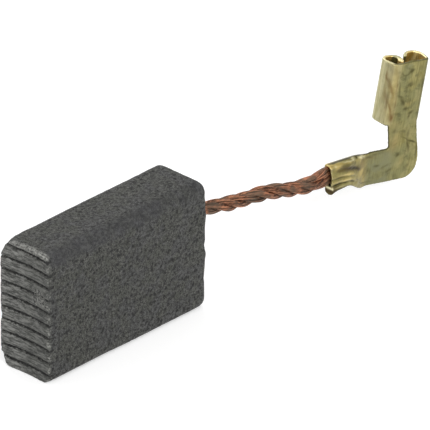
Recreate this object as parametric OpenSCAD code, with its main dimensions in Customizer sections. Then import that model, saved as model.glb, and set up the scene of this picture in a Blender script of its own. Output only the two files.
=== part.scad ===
// Carbon brush with a laid copper flex and a flag terminal.
// Millimetres. The origin is the centre of the block's underside.
// +X runs from the contact face to the flex, +Y across the block, +Z up.

/* [Carbon block] */
// Length, from the contact face's outer edges to the back face
block_l = 21.85; // [16:0.05:30]
// Thickness, across the two wide faces
block_t = 6.4; // [5:0.1:10]
// Height, from the underside to the top
block_h = 13.6; // [11:0.1:20]
// Radius of the two lower long edges
low_edge_r = 1.0; // [0.4:0.1:1.6]
// Radius of the two upper long edges
high_edge_r = 1.4; // [0.4:0.1:1.8]
// Radius of the edges round the back face
back_edge_r = 0.5; // [0.2:0.1:0.8]

/* [Contact face] */
// Radius of the commutator that the face is shaped to
commutator_r = 19.5; // [15:0.5:40]
// Number of bedding-in grooves across the face
groove_count = 10; // [4:1:14]
// Width of a groove at the face
groove_w = 0.36; // [0.2:0.02:0.5]
// Depth of a groove below the ribs' shoulders
groove_depth = 0.26; // [0.1:0.02:0.4]
// Height of a rib's crown above its shoulders
rib_crown = 0.12; // [0.06:0.02:0.2]
// Distance from the underside to the lowest groove
low_margin = 0.9; // [0.6:0.05:1.5]
// Distance from the highest groove to the top
high_margin = 0.55; // [0.4:0.05:1.5]

/* [Flex] */
// Outer diameter of the laid flex
flex_d = 1.5; // [1.2:0.05:1.8]
// Length of flex in which a strand goes once round
lay_l = 7.8; // [6:0.1:12]
// Height of the flex's hole above the underside
flex_z = 8.55; // [5:0.05:9]
// Length over which the strands open out before the crimp
flare_l = 3.6; // [2:0.1:5]
// Distance from the strands' ends to the crimp's far end
end_inset = 0.1; // [0.1:0.05:0.5]

/* [Flex hole] */
// Diameter of the blind hole in the back face
hole_d = 2.6; // [2.3:0.1:3.4]
// Depth of the blind hole
hole_depth = 6.5; // [4:0.1:9]
// Depth of the plug's face inside the back face
plug_recess = 0.2; // [0.1:0.05:0.5]
// Thickness of plug below the strands' ends
plug_floor = 0.8; // [0.4:0.1:1.5]

/* [Terminal] */
// Thickness of the brass sheet
sheet = 0.3; // [0.2:0.05:0.4]
// Length of the crimp
crimp_l = 2.7; // [2:0.1:5]
// Height of a pressed strand in the crimp, as a share of its diameter
squeeze = 0.76; // [0.6:0.02:1]
// Room in the crimp beside the row of strands, on each side
seam_room = 0.08; // [0.06:0.02:0.3]
// Height of the empty fold below the row of strands
bead_h = 0.6; // [0.5:0.05:1]
// Radius of the crimp's lower fold, at the middle of the sheet
bead_r = 0.55; // [0.45:0.05:0.7]
// Length of the throat between the crimp and the strip
throat_l = 3.25; // [1:0.05:4]
// Height of the crimp's axis above the strip's middle, at the crease
crimp_rise = 1.65; // [0:0.05:2]
// Width of the strip
strip_w = 3.7; // [3.2:0.1:5]
// Length of the strip, from the crease to the neck
strip_l = 2.4; // [1.5:0.1:5]
// Width of the neck at the strip
neck_w = 3.7; // [3:0.05:4.5]
// Width of the neck at the receptacle
neck_top_w = 3.4; // [3:0.05:4]
// Length of the neck, from the strip to the receptacle
neck_l = 2.75; // [1.5:0.1:5]
// Distance that the neck leans back over its length
neck_lean = 0.6; // [0:0.05:1]
// Radius of the outer corner between strip and neck
outer_corner_r = 1.4; // [0.5:0.05:2]
// Radius of the inner corner between strip and neck
inner_corner_r = 0.3; // [0.1:0.05:0.6]
// Length of the receptacle
receptacle_l = 6.75; // [5:0.05:8]
// Width of the receptacle's flat floor
floor_w = 3.25; // [2.8:0.05:3.6]
// Radius of the floor's bends, at the middle of the sheet
floor_bend_r = 0.35; // [0.3:0.05:0.5]
// Height of the outer wall's flat part
outer_wall_h = 0.6; // [0.3:0.05:0.9]
// Radius of the outer roll, at the middle of the sheet
outer_roll_r = 0.92; // [0.7:0.02:1]
// Height of the inner wall's flat part
inner_wall_h = 0.85; // [0.4:0.05:0.9]
// Radius of the inner roll, at the middle of the sheet
inner_roll_r = 0.6; // [0.5:0.05:0.7]
// Radius of the detent dimple
dimple_r = 0.65; // [0.4:0.05:0.8]
// Depth of the detent dimple
dimple_depth = 0.12; // [0.06:0.02:0.16]
// Distance from the receptacle's mouth to the dimple's middle
dimple_inset = 0.8; // [0.7:0.05:2]

/* [Hidden] */
$fn = 96;
fit = 0.02;                  // clearance between pieces
mouth_run = 0.2;             // straight run of the strands before the crimp's mouth
strand_gap = 0.03;           // clearance between neighbouring strands
over = 1;                    // reach of a cutter past the face it cuts
weld = 0.05;                 // depth by which parts of one piece run into each other
widest_part = 60;            // widest part of a wedge that one triangle covers

// Flex: four strands that touch in a ring, less the clearance
strand_pitch = flex_d / (1 + sqrt(2));
strand_d = strand_pitch - strand_gap;
ring_r = (flex_d - strand_pitch) / 2;
row_half = 1.5 * strand_pitch;           // centre of the end strand in the crimp's row
row_phase = atan(1 / 3);                 // turn at which four strands fall in an even row
strand_sides = 8;
steps_per_span = 4;
still_at = 0.4;                          // share of the flare in which the strands line up

// Route of the flex from its hole, by hand: along, across and up
flex_run = [[0, 0, 0], [1.4, -0.1, 0], [3.2, -0.25, -0.2], [4.8, -0.35, -0.45], [6.3, -0.5, -0.7],
            [7.8, -0.6, -0.9], [9.4, -0.7, -1.05], [11, -0.8, -1.3], [12.6, -0.95, -1.7],
            [14.1, -1.05, -2.05], [15.7, -1.2, -2.3], [17.2, -1.3, -2.3], [18.95, -1.4, -2.3]];
flex_start = [block_l / 2, 0, flex_z];
mouth = flex_start + flex_run[len(flex_run) - 1];

// Turns of the flag in the frame, and of the crimp from the flag
flag_turn = [5.4, 7, -11];
crimp_turn = [-9, -4, 10.6];

// Crimp: the sheet's middle surface round the row of strands
crimp_r = strand_d / 2 + seam_room + sheet / 2;
crimp_top = squeeze * (row_half + strand_d / 2) + fit + sheet / 2;
crimp_low = crimp_top + bead_h;
curl_r = 0.3;                            // radius of the wings' turned-in edges
fold_back = 180;
wing_curl = 40;                          // turn of the near wing's edge
bead_curl = 25;                          // turn of the lower wing's edge
seam_gap = 0.04;                         // gap between the two edges
wire_slot = [-0.1, 0.3];                 // heights between which the strands' ends show

// Receptacle: how far its bends turn
outer_bend = 90;
outer_roll = 165;
inner_bend = 65;
inner_roll = 250;

// Turns a vector as rotate() turns a body
function turn_x(p, a) = [p.x, p.y * cos(a) - p.z * sin(a), p.y * sin(a) + p.z * cos(a)];
function turn_y(p, a) = [p.x * cos(a) + p.z * sin(a), p.y, p.z * cos(a) - p.x * sin(a)];
function turn_z(p, a) = [p.x * cos(a) - p.y * sin(a), p.x * sin(a) + p.y * cos(a), p.z];
function turn(p, a) = turn_z(turn_y(turn_x(p, a.x), a.y), a.z);
function from_crimp(p) = turn(turn(p, crimp_turn), flag_turn);

crimp_axis = from_crimp([1, 0, 0]);
crimp_up = from_crimp([0, 0, 1]);

// Spine of the flex: from the plug, along the run and through the crimp
strand_start = hole_depth - plug_recess / 2 - plug_floor;
spine = concat(
    [[-strand_start - 1, 0, 0], [-strand_start, 0, 0], [-strand_start * 2 / 3, 0, 0],
     [-strand_start / 3, 0, 0]],
    flex_run,
    [for (s = [1 : 3]) flex_run[len(flex_run) - 1] + crimp_axis * (crimp_l - end_inset) * s / 2]);

function smooth(t) = let (c = max(0, min(1, t))) c * c * (3 - 2 * c);
function mix(a, b, t) = a + (b - a) * t;
function unit(v) = v / norm(v);

// Point on the spine at span i, part t of the way, on a curve through the points
function spine_at(i, t) = let (a = spine[i - 1], b = spine[i], c = spine[i + 1], d = spine[i + 2])
    flex_start + (2 * b + (c - a) * t + (2 * a - 5 * b + 4 * c - d) * t * t
                  + (3 * b - a - 3 * c + d) * t * t * t) / 2;
spine_points = concat(
    [for (i = [1 : len(spine) - 3], k = [0 : steps_per_span - 1]) spine_at(i, k / steps_per_span)],
    [spine_at(len(spine) - 3, 1)]);
function heading(list, i) = unit(list[min(i + 1, len(list) - 1)] - list[max(i - 1, 0)]);

// How far the strands have opened out, from 0 in the lay to 1 in the crimp's row
function flare(p) = (p.x - (mouth.x - mouth_run - flare_l)) / flare_l;
// Turn of the lay at a point, which stops where the strands line up
function phase(p) = row_phase
    + min(0, p.x - (mouth.x - mouth_run - flare_l * (1 - still_at))) * 360 / lay_l;
// Height of a strand at a point, as a share of its diameter
function pressed(p) = mix(1, squeeze, smooth(flare(p)));

// Centre of strand n beside each spine point
function strand_centre(n, i) = let (
    p = spine_points[i],
    along = heading(spine_points, i),
    across = unit(cross(crimp_up, along)),
    up = cross(along, across),
    a = phase(p) + n * 90,
    tall = mix(ring_r, row_half / sin(90 + row_phase), smooth(flare(p) / still_at)) * pressed(p),
    wide = mix(ring_r, 0, smooth((flare(p) - still_at) / (1 - still_at))))
    p + across * wide * cos(a) + up * tall * sin(a);
function strand_path(n) = [for (i = [0 : len(spine_points) - 1]) strand_centre(n, i)];

// Tube along a path, as one closed mesh, with its height pressed to a share at each ring
module tube(path, d, sides, shares) {
    rings = len(path);
    points = [for (i = [0 : rings - 1]) let (
                  along = heading(path, i),
                  across = unit(cross(crimp_up, along)),
                  up = cross(along, across) * shares[i])
              for (k = [0 : sides - 1])
                  path[i] + (across * cos(k * 360 / sides) + up * sin(k * 360 / sides)) * d / 2];
    walls = [for (i = [0 : rings - 2], k = [0 : sides - 1], half = [0, 1]) let (
                 a = i * sides + k,
                 b = i * sides + (k + 1) % sides)
             half == 0 ? [a, a + sides, b + sides] : [a, b + sides, b]];
    ends = [[for (k = [0 : sides - 1]) k],
            [for (k = [sides - 1 : -1 : 0]) (rings - 1) * sides + k]];
    polyhedron(points, concat(walls, ends));
}

// Rectangle about the origin, with its corners rounded
module rounded_rectangle(w, h, low_r, high_r) {
    difference() {
        square([w, h], center = true);
        for (x = [0, 1]) mirror([x, 0]) {
            translate([-w / 2, -h / 2])
                corner_fill(low_r);
            translate([-w / 2, h / 2])
                mirror([0, 1])
                    corner_fill(high_r);
        }
    }
}

// Area between a square corner at the origin and the arc that rounds it
module corner_fill(r) {
    difference() {
        square(r);
        translate([r, r])
            circle(r);
    }
}

// Sheet on edge, from the origin along +X: each step is a flat length, then a bend to the left
// of some angle and radius
module fold(steps, i = 0) {
    if (i < len(steps)) {
        flat = steps[i][0];
        angle = steps[i][1];
        r = steps[i][2];
        if (flat > 0)
            translate([0, -sheet / 2])
                square([flat, sheet]);
        translate([flat, r]) {
            intersection() {
                difference() {
                    circle(r + sheet / 2);
                    circle(r - sheet / 2);
                }
                sector(r + sheet, angle);
            }
            rotate(angle)
                translate([0, -r])
                    fold(steps, i + 1);
        }
    }
}

// Wedge from straight down, turning left through an angle
module sector(r, angle) {
    parts = ceil(angle / widest_part);
    polygon(concat([[0, 0]],
                   [for (k = [0 : parts]) 2 * r * [sin(k * angle / parts), -cos(k * angle / parts)]]));
}

// --- Carbon block -------------------------------------------------------------------------------

groove_pitch = (block_h - low_margin - high_margin) / (groove_count - 1);
rib_half = (groove_pitch - groove_w) / 2;
rib_r = (rib_half * rib_half + rib_crown * rib_crown) / (2 * rib_crown);
shoulder_r = commutator_r + rib_crown;
commutator_x = -block_l / 2 - sqrt(commutator_r * commutator_r - block_t * block_t / 4);

function groove_z(i) = low_margin + i * groove_pitch;

// Block with its long edges and its back edges rounded
module blank() {
    intersection() {
        translate([-block_l / 2, 0, block_h / 2])
            rotate([90, 0, 90])
                linear_extrude(block_l)
                    rounded_rectangle(block_t, block_h, low_edge_r, high_edge_r);
        translate([-back_edge_r, 0, -over])
            linear_extrude(block_h + 2 * over)
                rounded_rectangle(block_l + 2 * back_edge_r, block_t, back_edge_r, back_edge_r);
        translate([-back_edge_r, block_t / 2 + over, block_h / 2])
            rotate([90, 0, 0])
                linear_extrude(block_t + 2 * over)
                    rounded_rectangle(block_l + 2 * back_edge_r, block_h, back_edge_r, back_edge_r);
    }
}

// Half section of the commutator's space: crowned ribs stand into it, grooves run out of it
module serration_section() {
    difference() {
        translate([0, -over])
            square([shoulder_r, block_h + 2 * over]);
        for (i = [0 : groove_count])
            translate([commutator_r + rib_r, groove_z(i) - groove_pitch / 2])
                circle(rib_r);
    }
    for (i = [0 : groove_count - 1])
        translate([shoulder_r, groove_z(i)])
            polygon([[-weld, -groove_w / 2], [0, -groove_w / 2], [groove_depth, 0],
                     [0, groove_w / 2], [-weld, groove_w / 2]]);
}

module carbon_block() {
    color([0.25, 0.25, 0.24])
        difference() {
            blank();
            translate([commutator_x, 0, 0])
                rotate_extrude()
                    serration_section();
            translate([block_l / 2 - hole_depth, 0, flex_z])
                rotate([0, 90, 0])
                    cylinder(d = hole_d, h = hole_depth + over);
        }
}

// --- Contact plug -------------------------------------------------------------------------------

// Tamped contact powder that holds the strands in the block
module contact_plug() {
    plug_l = hole_depth - plug_recess;
    color([0.55, 0.36, 0.27])
        translate([block_l / 2 - hole_depth, 0, flex_z])
            rotate([0, 90, 0])
                difference() {
                    cylinder(d = hole_d - 2 * fit, h = plug_l);
                    translate([0, 0, plug_floor])
                        cylinder(d = flex_d + 2 * fit, h = plug_l);
                }
}

// --- Flex ---------------------------------------------------------------------------------------

module strand(n) {
    color([0.72, 0.42, 0.3])
        tube(strand_path(n), strand_d, strand_sides, [for (p = spine_points) pressed(p)]);
}

// --- Terminal -----------------------------------------------------------------------------------

floor_mid = neck_w - neck_lean - floor_bend_r - sheet / 2 - floor_w / 2;

// Places a body that is drawn along the crimp's own axis
module at_crimp() {
    translate(mouth)
        rotate(flag_turn)
            rotate(crimp_turn)
                children();
}

// Places a body that is drawn from the flag's inner corner, with the sheet's near face at y = 0
module at_flag() {
    translate([crimp_l + throat_l, crimp_r - sheet / 2, strip_w / 2 - crimp_rise])
        rotate([-crimp_turn.x, 0, 0])
            rotate([0, -crimp_turn.y, 0])
                rotate([0, 0, -crimp_turn.z])
                    translate([strip_l, 0, 0])
                        children();
}

// How far an edge rises as it is curled in
function curl_rise(angle) = (curl_r + sheet / 2) * sin(angle);

// Crimp: two wings of the sheet rolled over the row of strands, with their edges turned in
module crimp() {
    top_flat = crimp_top - crimp_r;
    low_flat = crimp_low - bead_r;
    wing = top_flat + low_flat - curl_rise(wing_curl) - curl_rise(bead_curl) - seam_gap;
    rotate([90, 0, 90])
        linear_extrude(crimp_l)
            translate([crimp_r, 0]) {
                rotate(90)
                    fold([[top_flat, fold_back, crimp_r], [wing, wing_curl, curl_r]]);
                mirror([0, 1])
                    rotate(90)
                        fold([[low_flat, fold_back, bead_r], [0, bead_curl, curl_r]]);
            }
}

// Throat: the sheet as it widens and turns from the crimp's back to the strip
module throat() {
    hull() {
        translate([crimp_l - weld, crimp_r - sheet / 2, bead_r - crimp_low])
            cube([weld, sheet, crimp_low + crimp_top - bead_r - crimp_r]);
        at_flag()
            translate([-strip_l, 0, -strip_w])
                cube([weld, sheet, strip_w]);
    }
}

// Patch of the near wing at the crimp's far end, between two heights
module wing_end(low, high) {
    translate([crimp_l - weld, -crimp_r - sheet / 2, low])
        cube([weld, sheet, high - low]);
}

// Patch of the strip's end, at a share of the strip's width from its top
module strip_start(share) {
    at_flag()
        translate([-strip_l, 0, -sheet - share * (strip_w - sheet)])
            cube([weld, sheet, sheet]);
}

// Funnel: the two wings as they open out from the crimp to the strip's edges
module funnel() {
    hull() {
        wing_end(wire_slot[1], crimp_top - crimp_r);
        translate([crimp_l - weld, -crimp_r + sheet / 4, crimp_top - sheet])
            cube([weld, sheet / 2, sheet / 2]);
        strip_start(0);
    }
    hull() {
        wing_end(-crimp_top / 2, wire_slot[0]);
        translate([crimp_l + throat_l / 2, crimp_r, -crimp_top])
            cube([weld, sheet / 2, -wire_slot[0] + sheet]);
    }
    hull() {
        translate([crimp_l - weld, crimp_r - 2 * bead_r - sheet / 2, bead_r - crimp_low])
            cube([weld, sheet, sheet / 2]);
        translate([crimp_l - weld, crimp_r - bead_r - sheet, -crimp_low - sheet / 2])
            cube([weld, sheet, sheet]);
        strip_start(1);
    }
}

// Strip, corner and neck, flat
module flag() {
    translate([0, sheet, 0])
        rotate([90, 0, 0])
            linear_extrude(sheet) {
                difference() {
                    polygon([[-strip_l, -strip_w], [neck_w, -strip_w], [neck_w, -outer_corner_r],
                             [neck_top_w - neck_lean, neck_l], [-neck_lean, neck_l], [0, 0], [-strip_l, 0]]);
                    translate([neck_w, -strip_w])
                        rotate(90)
                            corner_fill(outer_corner_r);
                }
                rotate(90)
                    corner_fill(inner_corner_r);
            }
}

// Receptacle: a flat floor with a loose outer roll and a tight inner roll
module receptacle() {
    translate([floor_mid, sheet / 2, neck_l - weld])
        linear_extrude(receptacle_l + weld) {
            fold([[floor_w / 2, outer_bend, floor_bend_r], [outer_wall_h, outer_roll, outer_roll_r]]);
            mirror([1, 0])
                fold([[floor_w / 2, inner_bend, floor_bend_r], [inner_wall_h, inner_roll, inner_roll_r]]);
        }
}

dimple_reach = 1.5 * dimple_r;
dimple_sphere_r = (dimple_r * dimple_r + dimple_depth * dimple_depth) / (2 * dimple_depth);

// Centre of the sphere that presses the detent
module at_dimple() {
    translate([floor_mid, dimple_depth - dimple_sphere_r, neck_l + receptacle_l - dimple_inset])
        children();
}

module terminal() {
    color([0.68, 0.63, 0.42])
        at_crimp() {
            crimp();
            throat();
            funnel();
            at_flag() {
                flag();
                difference() {
                    union() {
                        receptacle();
                        intersection() {
                            at_dimple()
                                sphere(dimple_sphere_r + sheet);
                            translate([floor_mid - dimple_reach, sheet / 2,
                                       neck_l + receptacle_l - dimple_inset - dimple_reach])
                                cube([2 * dimple_reach, sheet, 2 * dimple_reach]);
                        }
                    }
                    at_dimple()
                        sphere(dimple_sphere_r);
                }
            }
        }
}

carbon_block();
contact_plug();
strand(0);  // strand_1
strand(1);  // strand_2
strand(2);  // strand_3
strand(3);  // strand_4
terminal();
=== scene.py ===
"""Looks of the carbon brush: a pressed carbon block, a laid copper flex, a folded brass terminal.

Shapes are made in millimetres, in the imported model's frame, and their meshes are in metres.
"""

import math

import bmesh
import bpy
import numpy as np
from mathutils import Matrix, Vector


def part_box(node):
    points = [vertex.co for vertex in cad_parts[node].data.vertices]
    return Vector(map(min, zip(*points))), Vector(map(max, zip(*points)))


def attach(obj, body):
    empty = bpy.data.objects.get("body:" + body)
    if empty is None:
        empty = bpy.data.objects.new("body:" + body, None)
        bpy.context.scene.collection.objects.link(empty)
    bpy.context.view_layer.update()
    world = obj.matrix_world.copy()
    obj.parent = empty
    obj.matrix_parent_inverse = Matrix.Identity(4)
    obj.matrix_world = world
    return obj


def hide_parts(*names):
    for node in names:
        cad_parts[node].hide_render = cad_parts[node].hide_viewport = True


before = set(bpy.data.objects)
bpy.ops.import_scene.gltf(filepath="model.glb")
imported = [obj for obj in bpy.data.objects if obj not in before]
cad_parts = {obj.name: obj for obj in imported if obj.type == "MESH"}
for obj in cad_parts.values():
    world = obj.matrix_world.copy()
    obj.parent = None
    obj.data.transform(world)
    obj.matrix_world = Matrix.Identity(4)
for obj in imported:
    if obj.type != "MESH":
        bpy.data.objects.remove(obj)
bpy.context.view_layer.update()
scene = bpy.context.scene
MM = 0.001

# --- Curves and noise ---------------------------------------------------------------------------

NOISE_SIDE = 64
_table = np.random.RandomState(7).rand(NOISE_SIDE, NOISE_SIDE, NOISE_SIDE)


def step(a, b, x):
    """A smooth step from 0 at a to 1 at b."""
    t = np.clip((x - a) / (b - a), 0, 1)
    return t * t * (3 - 2 * t)


def bell(x, middle, width):
    return np.exp(-(((x - middle) / width) ** 2))


def unit(v):
    return v / np.linalg.norm(v, axis=-1, keepdims=True)


def noise(p, cell, shift=0.0):
    """Smooth noise from 0 to 1 at points p, with one value per cell of that size."""
    q = np.asarray(p) / cell + shift + 100.0
    i = np.floor(q).astype(int)
    f = q - i
    f = f * f * (3 - 2 * f)
    total = 0.0
    for dx in (0, 1):
        for dy in (0, 1):
            for dz in (0, 1):
                w = (f[:, 0] if dx else 1 - f[:, 0]) * (f[:, 1] if dy else 1 - f[:, 1])
                w = w * (f[:, 2] if dz else 1 - f[:, 2])
                at = (i + (dx, dy, dz)) % NOISE_SIDE
                total = total + w * _table[at[:, 0], at[:, 1], at[:, 2]]
    return total


def layered(p, cell, layers, shift=0.0):
    """Noise with finer noise on it, each layer of half the cell size."""
    total, scale, most = 0.0, 1.0, 0.0
    for k in range(layers):
        total = total + scale * noise(p, cell / 2**k, shift + 11.3 * k)
        most += scale
        scale *= 0.55
    return total / most


# --- Meshes -------------------------------------------------------------------------------------


def set_smooth(mesh):
    mesh.polygons.foreach_set("use_smooth", [True] * len(mesh.polygons))


def make_object(name, points, faces, material):
    """An object from points in millimetres."""
    mesh = bpy.data.meshes.new(name)
    mesh.from_pydata([tuple(p) for p in np.asarray(points) * MM], [], faces)
    mesh.validate()
    mesh.update()
    set_smooth(mesh)
    mesh.materials.append(material)
    piece = bpy.data.objects.new(name, mesh)
    scene.collection.objects.link(piece)
    return piece


def applied(piece):
    """The piece with its modifiers turned into mesh."""
    bpy.context.view_layer.update()
    depsgraph = bpy.context.evaluated_depsgraph_get()
    made = bpy.data.meshes.new_from_object(piece.evaluated_get(depsgraph))
    old = piece.data
    piece.modifiers.clear()
    piece.data = made
    bpy.data.meshes.remove(old)
    return piece


def read_vectors(mesh, attribute):
    values = np.zeros(len(mesh.vertices) * 3, np.float32)
    mesh.vertices.foreach_get(attribute, values)
    return values.reshape(-1, 3).astype(float)


def read_points(mesh):
    return read_vectors(mesh, "co")


def read_normals(mesh):
    return read_vectors(mesh, "normal")


def write_points(mesh, points):
    mesh.vertices.foreach_set("co", np.ascontiguousarray(points, dtype=np.float32).ravel())
    mesh.update()


def carry(mesh, name, values):
    """Gives the mesh a value at each point, which its material reads."""
    made = mesh.attributes.new(name, "FLOAT", "POINT")
    made.data.foreach_set("value", values.astype(np.float32))


def edges_of(mesh):
    e = np.zeros(len(mesh.edges) * 2, int)
    mesh.edges.foreach_get("vertices", e)
    return e.reshape(-1, 2)


def relax(points, edges, rounds, share=0.5, where=None):
    """Moves each point towards the middle of its neighbours."""
    count = np.bincount(edges.ravel(), minlength=len(points)).astype(float)[:, None]
    for _ in range(rounds):
        total = np.zeros_like(points)
        np.add.at(total, edges[:, 0], points[edges[:, 1]])
        np.add.at(total, edges[:, 1], points[edges[:, 0]])
        pull = (total / np.maximum(count, 1) - points) * share
        points = points + (pull if where is None else pull * where[:, None])
    return points


# --- Sizes in millimetres, as in the part's source ------------------------------------------------

block_lo, block_hi = (np.array(corner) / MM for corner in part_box("carbon_block"))
BLOCK_L, BLOCK_T, BLOCK_H = block_hi - block_lo
COMMUTATOR_R = 19.5
RIB_CROWN = 0.12
GROOVES = 10
LOW_MARGIN = 0.9
HIGH_MARGIN = 0.55
HOLE_D = 2.6
HOLE_DEPTH = 6.5
FLEX_Z = 8.55
COMMUTATOR_X = -BLOCK_L / 2 - math.sqrt(COMMUTATOR_R**2 - BLOCK_T**2 / 4)
GROOVE_PITCH = (BLOCK_H - LOW_MARGIN - HIGH_MARGIN) / (GROOVES - 1)

FLEX_D = 1.5
LAY_L = 7.8
FLARE_L = 3.6
CRIMP_L = 2.7
SQUEEZE = 0.76
STILL_AT = 0.4  # share of the flare where the lay stops turning
STRAND_GAP = 0.03
SEAM_ROOM = 0.08  # room in the crimp beside the strands
STRANDS = 4
PITCH = FLEX_D / (1 + math.sqrt(2))
STRAND_D = PITCH - STRAND_GAP
RING_R = (FLEX_D - PITCH) / 2
ROW_HALF = 1.5 * PITCH
ROW_PHASE = math.degrees(math.atan(1 / 3))
FLEX_RUN = [
    (0, 0, 0), (1.4, -0.1, 0), (3.2, -0.25, -0.2), (4.8, -0.35, -0.45), (6.3, -0.5, -0.7),
    (7.8, -0.6, -0.9), (9.4, -0.7, -1.05), (11, -0.8, -1.3), (12.6, -0.95, -1.7),
    (14.1, -1.05, -2.05), (15.7, -1.2, -2.3), (17.2, -1.3, -2.3), (18.95, -1.4, -2.3),
]
START = np.array([BLOCK_L / 2, 0, FLEX_Z])
MOUTH = START + np.array(FLEX_RUN[-1])

SHEET = 0.3
THROAT_L = 3.25
CRIMP_RISE = 1.65
STRIP_W = 3.7
STRIP_L = 2.4
CRIMP_R = STRAND_D / 2 + SEAM_ROOM + SHEET / 2
CREASE_S = CRIMP_L + THROAT_L

# Where the photograph's finer forms differ from the source's plain ones
GROOVE_DEPTH = 0.2
GROOVE_W = 0.26
SHUT_SHARE, SHUT_DEPTH = 0.25, 0.06  # what a groove keeps at the face's sides
LOW_EDGE_R = 0.85
HIGH_EDGE_R = 1.4
FAR_EDGE_R = 1.05  # the top edge's radius on the far side
BACK_EDGE_R = 0.5
BACK_TOP_R = 0.85
BACK_T = CRIMP_R - SHEET / 2  # near face of the crimp's back sheet
NEAR_T = -0.36  # outside of the pressed wings
WING_T = 0.27  # thickness of the pressed wings at the mouth
WIRES_END = 1.6  # how far the wires reach into the crimp

# Uneven near back edge: height, half length and depth of each wave
BACK_EDGE_WAVE = [
    (9.9, 1.0, 0.10), (6.7, 0.35, -0.08), (5.7, 0.4, 0.07), (3.1, 1.2, -0.12),
    (1.2, 0.8, -0.07), (0.4, 0.4, -0.14),
]
# Worn corners of the contact face: place, size and depth
WORN_CORNERS = [
    ((-BLOCK_L / 2, 3.0, 0.7), 0.6, 0.30),
    ((-BLOCK_L / 2, 2.8, BLOCK_H - 0.3), 1.1, 0.40),
    ((-BLOCK_L / 2, -3.1, 0.2), 0.5, 0.15),
    ((-BLOCK_L / 2, -3.1, BLOCK_H - 1.7), 0.4, 0.16),
]
CHIP_Y, CHIP_Z = -1.8, 8.7


def turned(x, y, z):
    """Turn about X, then Y, then Z, in degrees."""
    turn = Matrix.Rotation(math.radians(z), 3, "Z") @ Matrix.Rotation(math.radians(y), 3, "Y")
    return np.array(turn @ Matrix.Rotation(math.radians(x), 3, "X"))


FLAG_TURN = turned(5.4, 7, -11)
CRIMP_TURN = FLAG_TURN @ turned(-9, -4, 10.6)
CRIMP_ALONG, CRIMP_UP = CRIMP_TURN[:, 0], CRIMP_TURN[:, 2]
CREASE = [CRIMP_L + THROAT_L, CRIMP_R - SHEET / 2, STRIP_W / 2 - CRIMP_RISE]
FLAG_O = MOUTH + CRIMP_TURN @ CREASE + FLAG_TURN @ [STRIP_L, 0, 0]
FLAG_IN_CRIMP = CRIMP_TURN.T @ FLAG_TURN
FLAG_AT = (FLAG_O - MOUTH) @ CRIMP_TURN
DETENT_C = 8.7
ROLL_A, ROLL_B, ROLL_R = -0.78, 1.38, 0.6  # the receptacle's tight roll, on the flag
LOOSE_A, LOOSE_B, LOOSE_R = 2.03, 1.10, 0.92  # its loose roll

# --- Materials ----------------------------------------------------------------------------------


class Nodes:
    """A short way to write the node tree of a material or the world."""

    def __init__(self, owner, output="ShaderNodeOutputMaterial"):
        owner.use_nodes = True
        self.owner = owner
        self.tree = owner.node_tree
        self.tree.nodes.clear()
        self.out = self.tree.nodes.new(output)

    def put(self, socket, value):
        if isinstance(value, bpy.types.NodeSocket):
            self.tree.links.new(value, socket)
        else:
            socket.default_value = value

    def node(self, kind, inputs=(), **settings):
        made = self.tree.nodes.new(kind)
        for key, value in settings.items():
            setattr(made, key, value)
        for key, value in dict(inputs).items():
            self.put(made.inputs[key], value)
        return made

    def math(self, operation, a, b=0.0):
        return self.node("ShaderNodeMath", {0: a, 1: b}, operation=operation).outputs[0]

    def times(self, a, b):
        return self.math("MULTIPLY", a, b)

    def mapped(self, vector, **settings):
        return self.node("ShaderNodeMapping", {"Vector": vector, **settings}).outputs[0]

    def scaled(self, x=1.0, y=1.0, z=1.0, turn=(0, 0, 0), move=(0, 0, 0)):
        """Object coordinates in millimetres, stretched per axis."""
        coords = self.node("ShaderNodeTexCoord").outputs["Object"]
        base = self.mapped(coords, Scale=(1 / MM,) * 3)
        if turn != (0, 0, 0) or move != (0, 0, 0):
            base = self.mapped(base, Location=move, Rotation=turn)
        if (x, y, z) != (1.0, 1.0, 1.0):
            base = self.mapped(base, Scale=(x, y, z))
        return base

    def framed(self, turn, origin):
        """Millimetres in the frame whose axes are turn's columns."""
        to_local = Matrix(turn.T.tolist())
        move = to_local @ Vector([-v for v in origin])
        return self.scaled(turn=tuple(to_local.to_euler("XYZ")), move=tuple(move))

    def split(self, vector):
        return self.node("ShaderNodeSeparateXYZ", {"Vector": vector}).outputs

    def painted(self, name):
        """A share from 0 to 1 that the mesh carries at its points."""
        return self.node("ShaderNodeAttribute", attribute_name=name).outputs["Fac"]

    def noise(self, vector, scale, detail=2.0, roughness=0.5, distortion=0.0):
        inputs = {"Vector": vector, "Scale": scale, "Detail": detail}
        inputs.update({"Roughness": roughness, "Distortion": distortion})
        return self.node("ShaderNodeTexNoise", inputs).outputs["Fac"]

    def cells(self, vector, scale):
        made = self.node("ShaderNodeTexVoronoi", {"Vector": vector, "Scale": scale})
        return made.outputs["Distance"]

    def ramp(self, value, low, high, a=0.0, b=1.0):
        """A smooth step from a to b as the value goes from low to high."""
        inputs = {"Value": value, "From Min": low, "From Max": high, "To Min": a, "To Max": b}
        made = self.node("ShaderNodeMapRange", inputs, interpolation_type="SMOOTHSTEP")
        return made.outputs["Result"]

    def mix(self, share, a, b):
        made = self.node("ShaderNodeMix", data_type="RGBA")
        self.put(made.inputs["Factor"], share)
        self.put(made.inputs["A"], a if isinstance(a, bpy.types.NodeSocket) else (*a, 1.0))
        self.put(made.inputs["B"], b if isinstance(b, bpy.types.NodeSocket) else (*b, 1.0))
        return [s for s in made.outputs if s.type == "RGBA"][0]

    def bump(self, height, distance, strength):
        inputs = {"Height": height, "Distance": distance * MM, "Strength": strength}
        return self.node("ShaderNodeBump", inputs).outputs["Normal"]

    def shade(self, output):
        self.tree.links.new(output, self.out.inputs["Surface"])
        return self.owner

    def finish(self, **sockets):
        inputs = {name.replace("_", " "): value for name, value in sockets.items()}
        return self.shade(self.node("ShaderNodeBsdfPrincipled", inputs).outputs["BSDF"])


def new_material(name):
    return Nodes(bpy.data.materials.new(name))


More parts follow.
